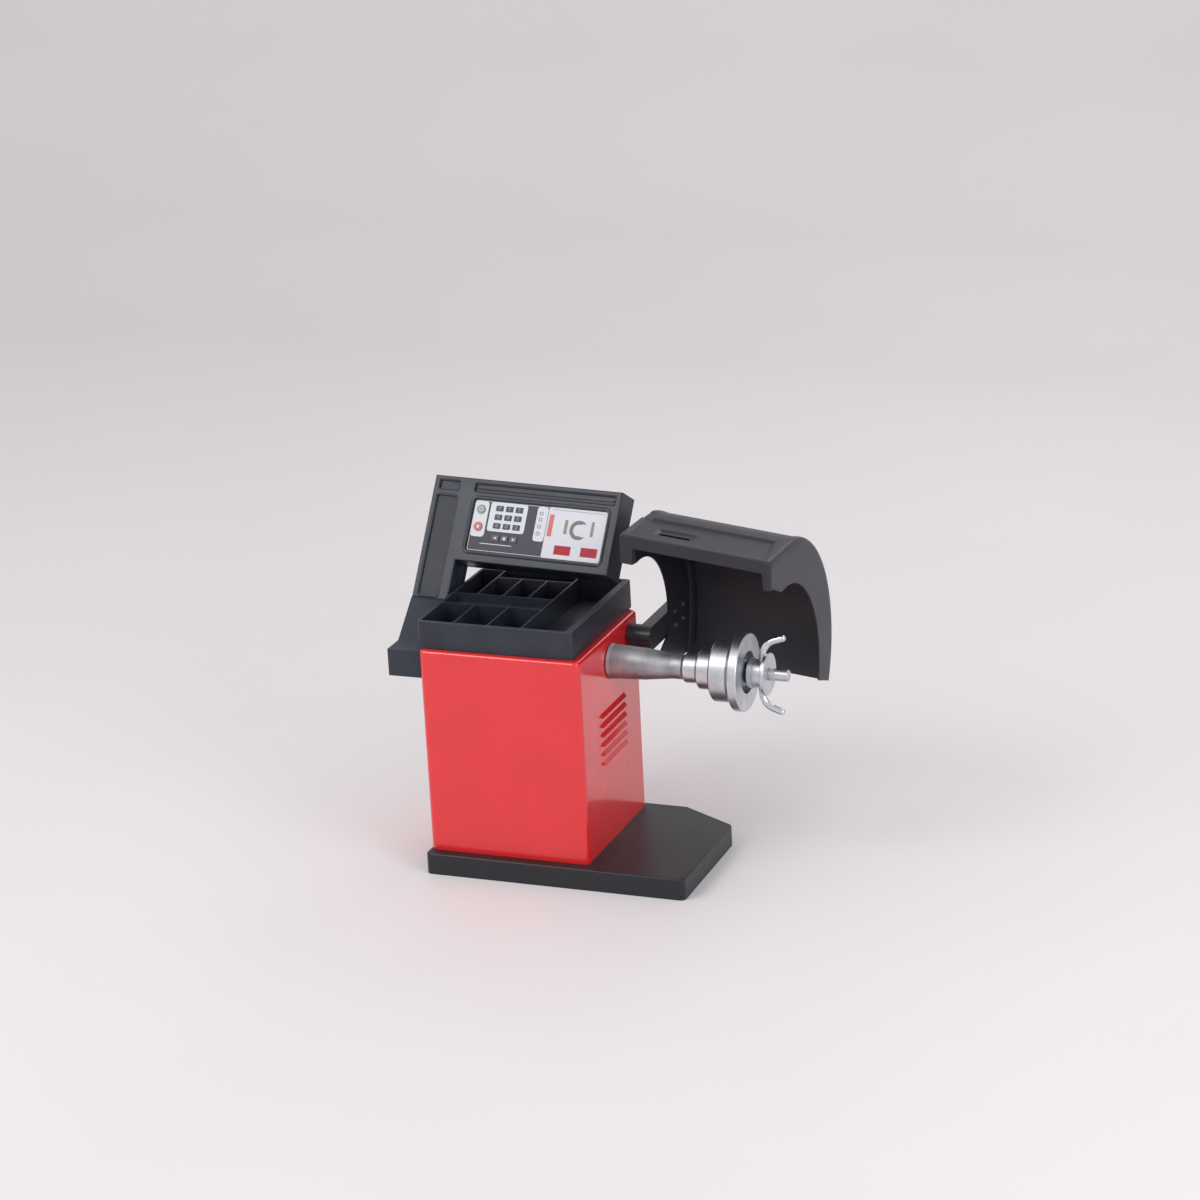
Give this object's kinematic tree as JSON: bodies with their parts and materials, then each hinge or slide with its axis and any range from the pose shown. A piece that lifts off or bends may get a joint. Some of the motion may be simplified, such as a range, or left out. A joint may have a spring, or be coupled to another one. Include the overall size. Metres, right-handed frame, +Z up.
{
  "type": "wheel balancer machine",
  "caption": "Floor-standing wheel balancer: red cabinet on a foot plate, weight tray, display console, horizontal shaft with quick nut, and a swinging wheel guard.",
  "frame": {"origin": "centre of the foot plate's underside, on the floor", "axes": "+X along the spindle to its free end, +Z up, -Y towards the operator"},
  "size_m": [1.3437, 0.866, 1.1931],
  "materials": {
    "base_black": "satin black paint",
    "cabinet_red": "gloss red paint",
    "cover_red": "gloss red paint",
    "zinc_screws": "zinc plated",
    "tray_plastic": "grained black plastic",
    "frame_grey": "dark grey paint",
    "spring_steel": "ground spring steel",
    "sensor_steel": "turned steel",
    "housing_silver": "silver cast",
    "bearing_steel": "ground bearing steel",
    "motor_grey": "grey paint",
    "belt_rubber": "ribbed rubber",
    "black_electric": "moulded plastic",
    "circuit_green": "circuit board",
    "transformer_iron": "varnished iron",
    "rocker_red": "lit rocker",
    "console_plastic": "grained black plastic",
    "panel_plastic": "fine grained black plastic",
    "fascia_film": "printed film",
    "keypad_silicone": "silicone keys",
    "window_red": "smoked red window",
    "bar_lens": "smoked lens",
    "diagram_dark": "dark lens",
    "bush_bronze": "sintered bronze",
    "shaft_steel": "ground steel",
    "pulley_aluminium": "turned aluminium",
    "encoder_steel": "etched disc",
    "hub_steel": "turned cast aluminium",
    "cone_steel": "hardened steel",
    "cup_steel": "turned aluminium",
    "nut_steel": "cast aluminium",
    "wing_steel": "bright steel",
    "hood_plastic": "black plastic",
    "arm_black": "black paint",
    "key_green": "green key",
    "key_red": "red key",
    "key_pale": "pale key"
  },
  "bodies": {
    "machine": {"base_pan": "base_black", "base_ribs": "base_black", "cabinet_shell": "cabinet_red", "rear_cover": "cover_red", "rear_cover_screws": "zinc_screws", "weight_tray": "tray_plastic", "spindle_frame": "frame_grey", "frame_bolts": "zinc_screws", "housing_saddle": "frame_grey", "flexure_plates": "spring_steel", "force_sensors": "sensor_steel", "spindle_housing": "housing_silver", "bearing_outer_rings": "bearing_steel", "bearing_cap": "sensor_steel", "motor_body": "motor_grey", "motor_bracket": "frame_grey", "drive_belt": "belt_rubber", "encoder_sensor": "black_electric", "power_board": "circuit_green", "transformer": "transformer_iron", "power_inlet": "black_electric", "console_foot": "console_plastic", "console_post": "frame_grey", "console_front_shell": "console_plastic", "console_rear_shell": "console_plastic", "console_screws": "zinc_screws", "column_panel": "panel_plastic", "panel_fascia": "fascia_film", "keypad_mat": "keypad_silicone", "led_windows": "window_red", "level_bars": "bar_lens", "rim_diagram": "diagram_dark", "display_board": "circuit_green", "pivot_bracket": "frame_grey", "pivot_bushes": "bush_bronze", "pivot_switch": "black_electric"},
    "spindle": {"spindle_shaft": "shaft_steel", "bearing_inner_rings": "bearing_steel", "spindle_pulley": "pulley_aluminium", "encoder_disc": "encoder_steel", "hub_flange": "hub_steel"},
    "ball_cage": {"bearing_balls": "bearing_steel"},
    "cone": {"centring_cone": "cone_steel", "cone_spring": "spring_steel"},
    "cup": {"pressure_cup": "cup_steel"},
    "wing_nut": {"quick_nut": "nut_steel", "wing_handles": "wing_steel"},
    "motor_rotor": {"motor_shaft": "bearing_steel", "motor_pulley": "pulley_aluminium"},
    "guard": {"hood_shell": "hood_plastic", "hood_arm": "arm_black", "hood_pivot_shaft": "sensor_steel", "hood_bolts": "zinc_screws", "stop_collar": "sensor_steel"},
    "mains_rocker": {"power_rocker": "rocker_red"},
    "start_button": {"start_key": "key_green"},
    "stop_button": {"stop_key": "key_red"},
    "left_button": {"arrow_key_left": "key_pale"},
    "middle_button": {"arrow_key_middle": "key_pale"},
    "right_button": {"arrow_key_right": "key_pale"}
  },
  "joints": [
    {"name": "spindle_spin", "type": "hinge", "parent": "machine", "child": "spindle", "pos_m": [0, 0.029, 0.682], "axis": [1, 0, 0], "continuous": true},
    {"name": "cage_spin", "type": "hinge", "parent": "machine", "child": "ball_cage", "pos_m": [0, 0.029, 0.682], "axis": [1, 0, 0], "continuous": true},
    {"name": "motor_spin", "type": "hinge", "parent": "machine", "child": "motor_rotor", "pos_m": [0, 0.205, 0.4], "axis": [1, 0, 0], "continuous": true},
    {"name": "cone_slide", "type": "slide", "parent": "spindle", "child": "cone", "axis": [1, 0, 0], "range_m": [-0.012, 0], "stiffness_N_per_m": 2000, "springref_m": 0.005, "deforming": ["cone_spring"]},
    {"name": "nut_slide", "type": "slide", "parent": "spindle", "child": "cup", "axis": [1, 0, 0], "range_m": [0, 0.066]},
    {"name": "nut_turn", "type": "hinge", "parent": "cup", "child": "wing_nut", "pos_m": [0, 0.029, 0.682], "axis": [1, 0, 0], "continuous": true},
    {"name": "hood_swing", "type": "hinge", "parent": "machine", "child": "guard", "pos_m": [0, 0.208, 0.708], "axis": [1, 0, 0], "range_deg": [0, 36]},
    {"name": "mains_switch", "type": "hinge", "parent": "machine", "child": "mains_rocker", "pos_m": [-0.331, 0.2925, 0.217], "axis": [1, 0, 0], "range_deg": [0, 14]},
    {"name": "start_press", "type": "slide", "parent": "machine", "child": "start_button", "axis": [0.0743, 0.8494, -0.5225], "range_m": [0, 0.0015], "stiffness_N_per_m": 800, "springref_m": -0.0005},
    {"name": "stop_press", "type": "slide", "parent": "machine", "child": "stop_button", "axis": [0.0743, 0.8494, -0.5225], "range_m": [0, 0.0015], "stiffness_N_per_m": 800, "springref_m": -0.0005},
    {"name": "left_press", "type": "slide", "parent": "machine", "child": "left_button", "axis": [0.0743, 0.8494, -0.5225], "range_m": [0, 0.0015], "stiffness_N_per_m": 800, "springref_m": -0.0005},
    {"name": "middle_press", "type": "slide", "parent": "machine", "child": "middle_button", "axis": [0.0743, 0.8494, -0.5225], "range_m": [0, 0.0015], "stiffness_N_per_m": 800, "springref_m": -0.0005},
    {"name": "right_press", "type": "slide", "parent": "machine", "child": "right_button", "axis": [0.0743, 0.8494, -0.5225], "range_m": [0, 0.0015], "stiffness_N_per_m": 800, "springref_m": -0.0005}
  ],
  "couplings": [
    {"joint": "cage_spin", "follows": "spindle_spin", "ratio": 0.426},
    {"joint": "motor_spin", "follows": "spindle_spin", "ratio": 3.2}
  ]
}
